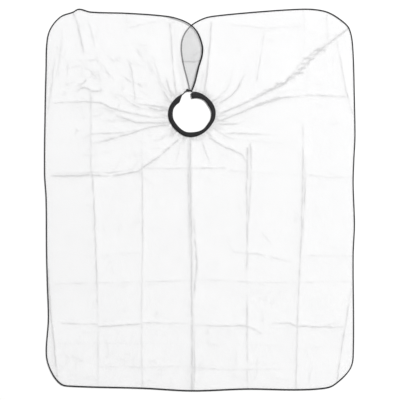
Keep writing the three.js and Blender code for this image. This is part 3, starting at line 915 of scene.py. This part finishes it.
def weave_group():
    """Plain weave on a flat vector: the height of its threads and a mask of the gaps between them, where
    materials paint shade.
    """
    group = bpy.data.node_groups.new("plain weave", "ShaderNodeTree")
    face = group.interface
    face.new_socket(name="Vector", in_out="INPUT", socket_type="NodeSocketVector")
    face.new_socket(name="Threads", in_out="INPUT", socket_type="NodeSocketFloat")
    face.new_socket(name="Height", in_out="OUTPUT", socket_type="NodeSocketFloat")
    face.new_socket(name="Gaps", in_out="OUTPUT", socket_type="NodeSocketFloat")
    start = group.nodes.new("NodeGroupInput")
    end = group.nodes.new("NodeGroupOutput")
    sized = add(group, "ShaderNodeVectorMath", {0: start.outputs[0]}, operation="SCALE")
    group.links.new(start.outputs[1], sized.inputs["Scale"])
    parts = add(group, "ShaderNodeSeparateXYZ", {0: sized.outputs[0]})
    turns = [sums(group, "MULTIPLY", parts.outputs[axis], math.pi) for axis in (0, 1)]
    waves = [sums(group, "SINE", turn) for turn in turns]
    warp, weft = (sums(group, "ABSOLUTE", wave) for wave in waves)
    over = sums(group, "GREATER_THAN", sums(group, "MULTIPLY", waves[0], waves[1]), 0.0)
    up = add(group, "ShaderNodeMix", {0: over, 2: warp, 3: weft}, data_type="FLOAT").outputs[0]
    gaps = sums(group, "SUBTRACT", 1.0, sums(group, "MAXIMUM", warp, weft))
    group.links.new(up, end.inputs["Height"])
    group.links.new(gaps, end.inputs["Gaps"])
    return group


weave = weave_group()


def woven(tree, vector, threads):
    """The weave's height and gaps, with so many threads to a metre."""
    node = add(tree, "ShaderNodeGroup", node_tree=weave)
    tree.links.new(vector, node.inputs["Vector"])
    node.inputs["Threads"].default_value = threads
    return node.outputs["Height"], node.outputs["Gaps"]


CLOTH_WHITE = (0.82, 0.82, 0.825)
CLOTH_SHADE = (0.72, 0.72, 0.73)
# painted shade in the creases
CREASE_SHADE_GREY = (0.06, 0.06, 0.065)
CLOTH_ALPHA = 0.145  # of each of the shell's two faces
CLOTH_THREADS = 1400
FINE_LOW, FINE_HIGH = 0.3, 0.7  # the usual range of a fine noise


def make_cloth_material():
    """Thin white polyester with a dry hand, see-through, its creases greyed with painted shade that partly
    stands for the denser pinched cloth there.
    """
    material, tree, shader = new_material("white sheer polyester")
    place = add(tree, "ShaderNodeTexCoord").outputs["Object"]
    height, gaps = woven(tree, place, CLOTH_THREADS)
    cloudy = noisy(tree, place, 7.0, 4.0)
    fine = noisy(tree, place, 90.0, 3.0)
    # painted shade along the creases, broken up by fine noise
    pressed = add(tree, "ShaderNodeAttribute", attribute_name="crease").outputs["Fac"]
    broken = ranged(tree, fine, FINE_LOW, FINE_HIGH, 0.7, 1.15)
    pressed = sums(tree, "MULTIPLY", pressed, broken, clamp=True)
    ground_colour = mixed(tree, cloudy, CLOTH_WHITE, CLOTH_SHADE)
    # the gaps between the threads are painted a little darker, as shade
    threads = mixed(tree, sums(tree, "MULTIPLY", gaps, 0.18), ground_colour, (0.7, 0.7, 0.71))
    # the creases are painted grey, as shade
    colour = mixed(tree, pressed, threads, CREASE_SHADE_GREY)
    tree.links.new(colour, shader.inputs["Base Color"])
    tree.links.new(ranged(tree, fine, FINE_LOW, FINE_HIGH, 0.46, 0.6), shader.inputs["Roughness"])
    relief = sums(tree, "ADD", sums(tree, "MULTIPLY", height, 0.5), sums(tree, "MULTIPLY", fine, 1.5))
    bumped(tree, shader, relief, 0.25, 0.0004)
    shader.inputs["Alpha"].default_value = CLOTH_ALPHA
    shader.inputs["Sheen Weight"].default_value = 0.12
    shader.inputs["Specular IOR Level"].default_value = 0.35
    return material


# painted shade deep in the gaps of the black weaves
GAP_SHADE_BLACK = (0.004, 0.004, 0.005)
LINT_GREY = (0.3, 0.3, 0.3)


def make_black_textile(name, colour, ridge_wear_and_highlight, threads, rib, lint, roughness):
    """Black tape or knit: ribs along its run, a weave with painted shade in its gaps, ridges painted lighter
    in cloudy patches as part wear and part painted highlight, and a little white lint.
    """
    material, tree, shader = new_material(name)
    coordinates = add(tree, "ShaderNodeTexCoord")
    place = coordinates.outputs["Object"]
    uv = coordinates.outputs["UV"]
    run = add(tree, "ShaderNodeMapping", {"Vector": uv, "Scale": (1, 0.01, 1)}).outputs[0]
    height, gaps = woven(tree, run, threads)
    fuzz = noisy(tree, place, 1900.0, 3.0)
    cloudy = noisy(tree, place, 60.0, 4.0)
    specks = ranged(tree, fuzz, 0.7, 0.78, 0.0, lint)
    along = add(tree, "ShaderNodeTexWave", {"Vector": run, "Scale": rib, "Distortion": 0.6}).outputs[1]
    ridges = sums(tree, "ADD", sums(tree, "MULTIPLY", height, 0.6), sums(tree, "MULTIPLY", along, 0.4))
    # ridge crowns painted lighter in cloudy patches: part wear, part painted highlight
    lit_and_worn_ridges = sums(tree, "MULTIPLY", ridges, sums(tree, "MULTIPLY", cloudy, 1.6), clamp=True)
    base = mixed(tree, lit_and_worn_ridges, colour, ridge_wear_and_highlight)
    # the gaps between the threads are painted near black, as shade
    base = mixed(tree, sums(tree, "MULTIPLY", gaps, 0.6), base, GAP_SHADE_BLACK)
    base = mixed(tree, specks, base, LINT_GREY)
    tree.links.new(base, shader.inputs["Base Color"])
    dry = ranged(tree, fuzz, FINE_LOW, FINE_HIGH, roughness - 0.1, roughness + 0.1)
    tree.links.new(dry, shader.inputs["Roughness"])
    bumped(tree, shader, sums(tree, "ADD", ridges, sums(tree, "MULTIPLY", fuzz, 0.8)), 0.6, 0.0003)
    shader.inputs["Sheen Weight"].default_value = 0.25
    shader.inputs["Sheen Roughness"].default_value = 0.4
    shader.inputs["Specular IOR Level"].default_value = 0.3
    return material


def make_plain_material(name, colour, dark, scale, low, high, bump_depth, coat=0.0):
    """A moulded or rubber surface: fine clouding, uneven gloss and a slight skin texture."""
    material, tree, shader = new_material(name)
    place = add(tree, "ShaderNodeTexCoord").outputs["Object"]
    cloudy = noisy(tree, place, scale, 5.0)
    grain = noisy(tree, place, scale * 9, 2.0)
    tree.links.new(mixed(tree, cloudy, dark, colour), shader.inputs["Base Color"])
    tree.links.new(ranged(tree, grain, FINE_LOW, FINE_HIGH, low, high), shader.inputs["Roughness"])
    bumped(tree, shader, grain, 0.4, bump_depth)
    shader.inputs["Coat Weight"].default_value = coat
    return material


cloth_material = make_cloth_material()
tape_material = make_black_textile(
    "black edge tape", (0.005, 0.005, 0.006), (0.02, 0.02, 0.022),
    threads=1600, rib=900, lint=0.25, roughness=0.75,
)
band_material = make_black_textile(
    "black neckband jersey", (0.006, 0.006, 0.0065), (0.026, 0.026, 0.028),
    threads=900, rib=420, lint=0.5, roughness=0.85,
)
thread_material = make_black_textile(
    "black sewing thread", (0.02, 0.02, 0.021), (0.055, 0.055, 0.058),
    threads=3000, rib=2500, lint=0.1, roughness=0.6,
)
elastic_material = make_plain_material(
    "woven elastic", (0.06, 0.06, 0.062), (0.03, 0.03, 0.03), 200, low=0.6, high=0.8, bump_depth=0.0002
)
snap_material = make_plain_material(
    "black moulded snap", (0.016, 0.016, 0.017), (0.008, 0.008, 0.009), 150,
    low=0.2, high=0.34, bump_depth=0.00004, coat=0.3,
)
floor_material = make_plain_material(
    "pale floor", (0.87, 0.87, 0.87), (0.86, 0.86, 0.86), 3, low=0.7, high=0.8, bump_depth=0.0001
)


# ---------------------------------------------------------------- camera and light

VIEW_WIDTH = 1.5664  # metres of floor across the picture
LENS = 200
SENSOR = 36
SURROUND = 0.46  # strength of the even white light from all round
KEY_PLACE = Vector((16.0, 13.5, 15.0))
KEY_SIZE = 6.5
KEY_WATTS = 9000
FLOOR_SIZE = 12
FLOOR_DROP = 0.0003  # the floor's top lies this far under the cape


def add_camera():
    data = bpy.data.cameras.new("camera")
    data.lens = LENS
    data.sensor_width = SENSOR
    data.clip_end = 100
    camera = bpy.data.objects.new("camera", data)
    camera.location = (0, 0, VIEW_WIDTH * LENS / SENSOR)
    bpy.context.scene.collection.objects.link(camera)
    bpy.context.scene.camera = camera


def add_key_light():
    data = bpy.data.lights.new("key light", "AREA")
    data.shape = "DISK"
    data.size = KEY_SIZE
    data.energy = KEY_WATTS
    light = bpy.data.objects.new("key light", data)
    light.location = KEY_PLACE
    light.rotation_euler = (-KEY_PLACE).to_track_quat("-Z", "Y").to_euler()
    bpy.context.scene.collection.objects.link(light)


def add_stage():
    add_camera()
    world = bpy.data.worlds.new("studio")
    world.use_nodes = True
    world.node_tree.nodes["Background"].inputs[0].default_value = (1, 1, 1, 1)
    world.node_tree.nodes["Background"].inputs[1].default_value = SURROUND
    bpy.context.scene.world = world
    add_key_light()
    bpy.context.scene.view_settings.view_transform = "Standard"
    bpy.ops.mesh.primitive_plane_add(size=FLOOR_SIZE, location=(0, 0, -FLOOR_DROP))
    floor = bpy.context.object
    floor.name = "floor"
    floor.data.materials.append(floor_material)
    return floor


floor = add_stage()


# ---------------------------------------------------------------- the cape's pieces


MAIN_SPACING = 11
FLAP_SPACING = 7
BEND_ROWS = (3, 6, 9, 12, 15, 18, 22)


def bend_rows(fold, into):
    """Close rows of places beside a fold, where the cloth bends."""
    return [fold[1:-1] + into * away for away in BEND_ROWS]


def nearer_side(xy):
    return np.where(xy[:, 0] < NECK[0], "left", "right")


def always(side):
    return lambda xy: np.full(len(xy), side)


def make_sheets():
    main_border = np.vstack([main_hem[:-1], left_fold[::-1][:-1], main_neck[::-1][:-1], right_fold[:-1]])
    left_border = np.vstack([left_hem[:-1], left_fold[::-1][:-1], left_neck[:-1]])
    right_border = np.vstack([right_hem[:-1], right_fold[::-1][:-1], right_neck[:-1]])
    left_rows, right_rows = bend_rows(left_fold, LEFT_IN), bend_rows(right_fold, RIGHT_IN)
    return (
        cloth("cape_sheet", main_border, nearer_side, False, MAIN_SPACING),
        cloth("left_flap_sheet", left_border, always("left"), True, FLAP_SPACING, left_rows),
        cloth("right_flap_sheet", right_border, always("right"), False, FLAP_SPACING, right_rows),
    )


# Across and up, in halves of the tape's width and in its whole height.
FOLDED_TAPE = (
    (-1.0, 0.35), (-0.96, 0.68), (-0.72, 0.93), (-0.25, 1.0), (0.25, 0.98), (0.72, 0.9), (0.98, 0.66),
    (1.0, 0.34), (0.72, 0.07), (0.25, 0.0), (-0.25, 0.0), (-0.72, 0.06),
)


def tape_section(half, height):
    return [(out * half, (up - 0.5) * height) for out, up in FOLDED_TAPE]


def waved(line, base, swing=0.35):
    """A line in plan with its height, which rides up and down a little."""
    places = []
    for x, y in line:
        places.append((x, y, base + abs(swing * waver(x, y, 28, 2.2))))
    return np.array(places)


def lengthened(line, first, last):
    """The line, run on a little at its first end, its last end or both."""
    before = line[0] - first * unit(line[1] - line[0])
    after = line[-1] + last * unit(line[-1] - line[-2])
    return np.vstack([[before] if first else line[:0], line, [after] if last else line[:0]])


def raised(path):
    """A path on the upper flap."""
    path = path.copy()
    path[:, 2] += lift(path[:, :2])
    return path


EDGE_STITCHES = dict(offset=-1.5, pitch=3.4, length=2.3, width=0.5, height=0.5)
NECK_STITCHES = dict(offset=0.3, pitch=3.0, length=2.0, width=0.45, height=0.45)


def both_faces(row, top, under):
    """One row of stitches on a tape's top and one on its underside, each at a share of the tape's height."""
    return [dict(row, up=top * TAPE_HEIGHT), dict(row, up=under * TAPE_HEIGHT)]


FOOT_WIDER = 0.14
FOOT_FROM, FOOT_OVER = 90, 60  # how far from the foot this starts, and the stretch in which it grows
SIDE_NARROWER = 0.12
SIDE_FROM, SIDE_OVER = 60, 50
LAP_WIDER = 0.24
LAP_WAVE = 0.14
LAP_TOP, LAP_BOTTOM = 40, 12  # the stretches in which the lapped tape gets wide


def tape_widths(path):
    """The folded tape lies wider along the cape's foot, and stands more on its edge at the sides."""
    at_foot = smooth((-path[:, 1] - HALF_LENGTH + FOOT_FROM) / FOOT_OVER)
    at_side = smooth((np.abs(path[:, 0]) - HALF_WIDTH + SIDE_FROM) / SIDE_OVER)
    return 1 + FOOT_WIDER * at_foot - SIDE_NARROWER * at_side * (1 - at_foot)


def lap_widths(path):
    """The upper flap's tape is pulled wide where it laps over the other flap."""
    low, high = LEFT_NECK_EDGE[-1][1], CROSSING[1]
    lapped = smooth((high - path[:, 1]) / LAP_TOP) * smooth((path[:, 1] - low) / LAP_BOTTOM)
    waves = np.array([noise.noise(Vector((y / 16, 0.5, 3.1))) for y in path[:, 1]])
    return 1 + lapped * (LAP_WIDER + LAP_WAVE * waves)


def make_bindings():
    section = tape_section(TAPE_HALF, TAPE_HEIGHT)
    mats = [tape_material, thread_material]
    stitches = both_faces(EDGE_STITCHES, 0.44, -0.46)
    main_path = waved(main_hem, EDGE_MID)
    main = swept("cape_edge_binding", main_path, section, mats, tape_widths(main_path), stitches)
    left_path = raised(waved(lengthened(left_hem, CORNER_OVERLAP, 0), EDGE_MID, 0.2))
    left = swept("left_flap_edge_binding", left_path, section, mats, lap_widths(left_path), stitches)
    right_path = waved(right_hem, EDGE_MID, 0.2)
    right = swept("right_flap_edge_binding", right_path, section, mats, stitches=stitches)
    return main, left, right


TAB_LINE = ((-33, 425.5), (-40, 429))  # places of the tab's line, before the stud
TAB_END = 5.2  # how far the tab runs on past the stud
TAB_STEP = 1.2
TAB_LENGTH = 17  # the doubled tab's length, how much wider it is than the tape, and where it grows that wide
TAB_WIDER = 1.9
TAB_GROWS = 9
TAB_ROUND = 5.4  # the stretch in which its end is rounded, and how blunt that is
TAB_BLUNT = 5.6
TAB_LEAST = 0.05


def make_neck_tapes():
    section = tape_section(NECK_TAPE_HALF, TAPE_HEIGHT)
    mats = [tape_material, thread_material]
    stitches = both_faces(NECK_STITCHES, 0.47, -0.49)
    main = swept("cape_neck_tape", waved(main_neck, EDGE_MID, 0.1), section, mats, stitches=stitches)
    left_path = raised(waved(lengthened(left_neck, 0, TAPE_HALF), EDGE_MID, 0))
    left = swept("left_flap_neck_tape", left_path, section, mats, stitches=stitches)
    snap = snap_centre()
    end = snap + TAB_END * unit(snap - np.array(TAB_LINE[-1]))
    tail = spline([RIGHT_FOOT, *TAB_LINE, snap, end], TAB_STEP, right_leaving)
    run = np.linalg.norm(tail - tail[-1], axis=1)
    width = 1 + TAB_WIDER * smooth((TAB_LENGTH - run) / TAB_GROWS)
    width *= np.sqrt(np.clip(1 - ((TAB_ROUND - run).clip(0) / TAB_BLUNT) ** 2, TAB_LEAST, 1))
    right = swept("right_flap_neck_tape", waved(tail, EDGE_MID, 0), section, mats, width, stitches)
    return main, left, right


CAP_SIDES = 48
CAP_DEPTH = 1.2
CAP_RIM = 0.55  # width of the rolled rim, and how deep the dish lies inside it
CAP_DISH = 0.28
CAP_FLAT = 0.8  # width of the dish's flat ring
CAP_BOSS = 0.35  # height of the round boss in the dish, the width of its slope and what that adds to it
CAP_SLOPE = 0.9
CAP_CROWN = 0.12
CAP_POST = 1.3  # radius of the post under the cap
CAP_ROUNDING = 0.2


def pick_face(mesh, direction, level):
    """Selects the face that looks along Z in one direction at a height, and nothing else."""
    for face in mesh.faces:
        face.select_set(face.normal.z * direction > 0.9 and abs(face.calc_center_median().z - level) < 1e-6)


def make_cap():
    """The press stud's cap: a dished disc with a rolled rim and a boss in the middle, on its post."""
    low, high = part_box("snap_cap")
    radius = (high.x - low.x) / 2
    flange_top = high.z - CAP_DISH * MM
    flange_low = high.z - CAP_DEPTH * MM
    bpy.ops.object.select_all(action="DESELECT")
    middle = ((low.x + high.x) / 2, (low.y + high.y) / 2, (flange_top + flange_low) / 2)
    depth = flange_top - flange_low
    bpy.ops.mesh.primitive_cylinder_add(vertices=CAP_SIDES, radius=radius, depth=depth, location=middle)
    cap = bpy.context.object
    cap.name = cap.data.name = "press_stud_cap"
    bpy.ops.object.transform_apply(location=True, rotation=True, scale=True)
    bpy.ops.object.mode_set(mode="EDIT")
    bpy.ops.mesh.select_mode(type="FACE")
    shape = bmesh.from_edit_mesh(cap.data)
    pick_face(shape, 1, flange_top)
    bpy.ops.mesh.inset(thickness=CAP_RIM * MM)
    bpy.ops.mesh.extrude_region_move(TRANSFORM_OT_translate={"value": (0, 0, -CAP_DISH * MM)})
    bpy.ops.mesh.inset(thickness=CAP_FLAT * MM)
    bpy.ops.mesh.extrude_region_move(TRANSFORM_OT_translate={"value": (0, 0, CAP_BOSS * MM)})
    bpy.ops.mesh.inset(thickness=CAP_SLOPE * MM)
    bpy.ops.transform.translate(value=(0, 0, CAP_CROWN * MM))
    pick_face(shape, -1, flange_low)
    bpy.ops.mesh.inset(thickness=radius - CAP_POST * MM)
    bpy.ops.mesh.extrude_region_move(TRANSFORM_OT_translate={"value": (0, 0, low.z - flange_low)})
    bpy.ops.object.mode_set(mode="OBJECT")
    bevel = cap.modifiers.new("rounded edges", "BEVEL")
    bevel.width = CAP_ROUNDING * MM
    bevel.segments = 3
    bpy.ops.object.modifier_apply(modifier=bevel.name)
    bpy.ops.object.shade_smooth_by_angle(angle=math.radians(40))
    cap.data.materials.append(snap_material)
    return cap


def snap_centre():
    low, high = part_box("snap_post")
    return np.array(((low.x + high.x) / 2, (low.y + high.y) / 2)) / MM


# The band's ends, each at its outer and its inner edge: cut square at the right and slanted at the left.
BAND_START = (math.radians(94), math.radians(92))
BAND_END = (math.radians(-243.5), math.radians(-224))
SLANT_SHARE = 0.14  # share of the band's run over which its last end turns slanted
SQUARE_SHARE = 0.05
END_SHARE = 0.012  # share of the run in which the band's ends are drawn in, and how much
END_DRAWN = 0.06
SEAM_GAP = 3.4  # between the sleeve's outer edge and the seam
BAND_STEPS = 420
BAND_BASE = 0.15
SLEEVE_HEIGHT = 4.0
SLEEVE_PUCKER = 0.55
# Share of the width from the inner edge, and share of the height.
SLEEVE = (
    (0.0, 0.45), (0.0, 0.62), (0.04, 0.82), (0.12, 0.9), (0.2, 0.84), (0.24, 0.76), (0.29, 0.86), (0.4, 0.97),
    (0.5, 1.0), (0.6, 0.97), (0.71, 0.86), (0.76, 0.76), (0.8, 0.84), (0.88, 0.9), (0.96, 0.82), (1.0, 0.6),
    (1.0, 0.42), (0.95, 0.16), (0.85, 0.04), (0.5, 0.0), (0.15, 0.04), (0.05, 0.16),
)


def slant_at(share):
    return float(smooth((share - (1 - SLANT_SHARE)) / SLANT_SHARE))


def around(section, steps, inner_gap, outer_gap, base, height, pucker=0.0, short=0.0):
    """Places of a flat roll round the neck opening, short of the band's ends by a share of its run."""
    places, uvs = [], []
    for i in range(steps + 1):
        share = short + (1 - 2 * short) * i / steps
        outer = BAND_START[0] + (BAND_END[0] - BAND_START[0]) * share
        inner = outer + (BAND_END[1] - BAND_END[0]) * slant_at(share)
        inner -= (BAND_START[0] - BAND_START[1]) * (1 - smooth(share / SQUARE_SHARE))
        tuck = pucker * noise.noise(Vector((share * 150, 0.3, 0)))
        narrow = 1 - END_DRAWN * (1 - smooth(min(share, 1 - share) / END_SHARE))
        for k, (width, up) in enumerate(section):
            angle = inner + (outer - inner) * width
            low, high = band_inner(angle) + inner_gap, band_outer(angle) - outer_gap
            middle = (low + high) / 2
            radius = middle + (low + (high - low) * width - middle) * narrow
            ripple = tuck * math.sin(math.pi * min(1, max(0, width))) * (1 if up > 0.3 else 0)
            ridge = pucker * 0.6 * noise.noise(Vector((share * 420, width * 2.5, 5))) * (1 if up > 0.3 else 0)
            place = polar(angle, radius)
            places.append((place[0], place[1], base + (up * height + ripple + ridge) * narrow))
            uvs.append((share * 0.5, width))
    return places, uvs


def on_sleeve(angle, share):
    """The place on the sleeve at an angle, at a share of its width."""
    radius = band_inner(angle) * (1 - share) + (band_outer(angle) - SEAM_GAP) * share
    return (*polar(angle, radius), 0)


ROW_INSET = 8  # steps that a row of topstitching stays inside the sleeve's ends


def band_row(share):
    """A line in plan along the sleeve, at a share of its width, for its topstitching."""
    line = []
    for i in range(ROW_INSET, BAND_STEPS - ROW_INSET + 1, 2):
        along = i / BAND_STEPS
        outer = BAND_START[0] + (BAND_END[0] - BAND_START[0]) * along
        angle = outer + (BAND_END[1] - BAND_END[0]) * slant_at(along) * (1 - share)
        line.append(on_sleeve(angle, share))
    return np.array(line)


TACK_INSET = 0.055  # radians that a bar tack stays inside the sleeve's end


def bar_tack(end, into):
    """A line across the sleeve's end, from its outer edge inwards, for the close stitches that hold it."""
    line = []
    for share in np.linspace(0.94, 0.3, 9):
        line.append(on_sleeve(end[1] + (end[0] - end[1]) * share + into * TACK_INSET, share))
    return np.array(line)


CORE = ((0.08, 0.1), (0.08, 0.9), (0.3, 1.0), (0.7, 1.0), (0.92, 0.9), (0.92, 0.1), (0.7, 0.0), (0.3, 0.0))
CORE_STEPS = 200
CORE_GAPS = (3.5, 7)  # inside and outside it
CORE_BASE = 1.0
CORE_HEIGHT = 1.5
CORE_SHORT = 0.024
STITCH_ROWS = (0.24, 0.76)  # shares of the sleeve's width, where its section has its two grooves
TOPSTITCHES = dict(up=SLEEVE_HEIGHT * 0.76 + 0.25, pitch=3.2, length=2.3, width=0.55, height=0.5)
TACK_STITCHES = dict(
    up=SLEEVE_HEIGHT * 0.97, pitch=0.75, length=2.6, width=0.6, height=0.6, slant=math.pi / 2
)


def make_band_piece(name, section, steps, material, *shape, **more_shape):
    places, uvs = around(section, steps, *shape, **more_shape)
    faces = outward(places, ring_faces(steps, len(section)), len(section))
    return new_piece(name, places, faces, [material], None, uvs)


def make_neckband():
    sleeve = make_band_piece(
        "neckband_sleeve", SLEEVE, BAND_STEPS, band_material,
        0, SEAM_GAP, BAND_BASE, SLEEVE_HEIGHT, pucker=SLEEVE_PUCKER,
    )
    core = make_band_piece(
        "neckband_core", CORE, CORE_STEPS, elastic_material,
        *CORE_GAPS, CORE_BASE, CORE_HEIGHT, short=CORE_SHORT,
    )
    places, faces = [], []
    for share in STITCH_ROWS:
        join(places, faces, *stitch_row(band_row(share), 0, **TOPSTITCHES))
    for end, into in ((BAND_END, 1), (BAND_START, -1)):
        join(places, faces, *stitch_row(bar_tack(end, into), 0, **TACK_STITCHES))
    thread = new_piece("neckband_topstitching", places, faces, [thread_material])
    return sleeve, core, thread


(main_sheet, main_area), (left_sheet, left_area), (right_sheet, right_area) = make_sheets()
main_binding, left_binding, right_binding = make_bindings()
main_tape, left_tape, right_tape = make_neck_tapes()
sleeve, core, topstitching = make_neckband()
snap_button = make_cap()

for name in ("snap_socket", "snap_stud", "snap_post"):
    mesh = frame["nodes"][name].data
    mesh.materials.clear()
    mesh.materials.append(snap_material)

for piece, slot, nodes in (
    (main_sheet, "cape_cloth", ["cape_cloth"]),
    (main_binding, "binding_tape", ["cape_hem_binding"]),
    (main_tape, "binding_tape", ["cape_neck_binding"]),
    (sleeve, "neckband_knit", ["neckband_casing"]),
    (core, "elastic", ["neckband_elastic"]),
    (topstitching, "binding_tape", []),
):
    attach(piece, "cape")
    if nodes:
        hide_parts(*nodes)

for piece, slot, node in (
    (left_sheet, "cape_cloth", "left_flap_cloth"),
    (left_binding, "binding_tape", "left_flap_hem_binding"),
    (left_tape, "binding_tape", "left_flap_neck_binding"),
):
    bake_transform(piece)
    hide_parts(node)

for piece, slot, node in (
    (right_sheet, "cape_cloth", "right_flap_cloth"),
    (right_binding, "binding_tape", "right_flap_hem_binding"),
    (right_tape, "binding_tape", "right_flap_neck_binding"),
):
    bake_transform(piece)
    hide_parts(node)

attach(snap_button, "left_flap")
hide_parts("snap_cap")
